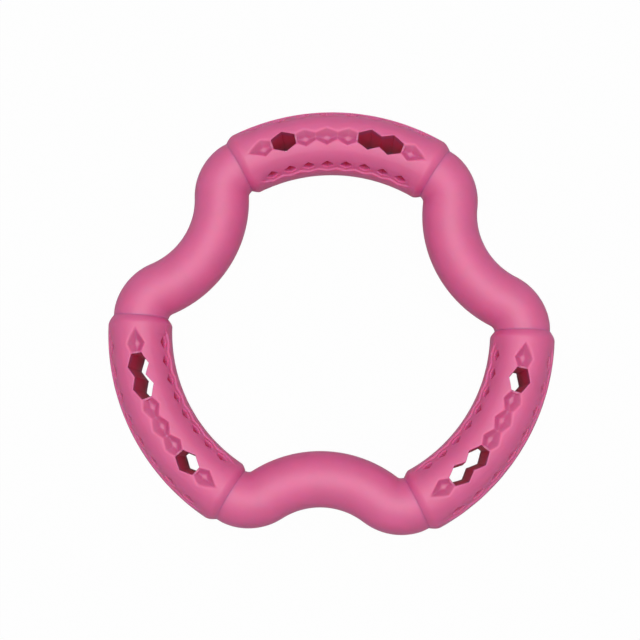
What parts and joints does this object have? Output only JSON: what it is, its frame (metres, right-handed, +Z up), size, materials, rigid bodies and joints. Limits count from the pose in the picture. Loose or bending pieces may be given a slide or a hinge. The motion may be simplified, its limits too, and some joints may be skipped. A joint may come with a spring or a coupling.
{
  "type": "dog chew ring",
  "caption": "Rubber chew ring for a dog: thick arcs with gripping pits and treat holes, joined by smooth bars that bow towards the ring's centre.",
  "frame": {"origin": "centre of the ring, half way up the tube", "axes": "the ring lies flat in XY, +Z is up from the floor it lies on, +Y points from the centre to the middle of perforated_arc_top"},
  "size_m": [0.21, 0.199, 0.03],
  "materials": {
    "arc_rubber": "satin moulded pink rubber",
    "bar_rubber": "satin moulded pink rubber"
  },
  "bodies": {
    "root": {"perforated_arc_top": "arc_rubber", "perforated_arc_right": "arc_rubber", "perforated_arc_left": "arc_rubber", "wave_bar_right": "bar_rubber", "wave_bar_bottom": "bar_rubber", "wave_bar_left": "bar_rubber"}
  },
  "joints": []
}
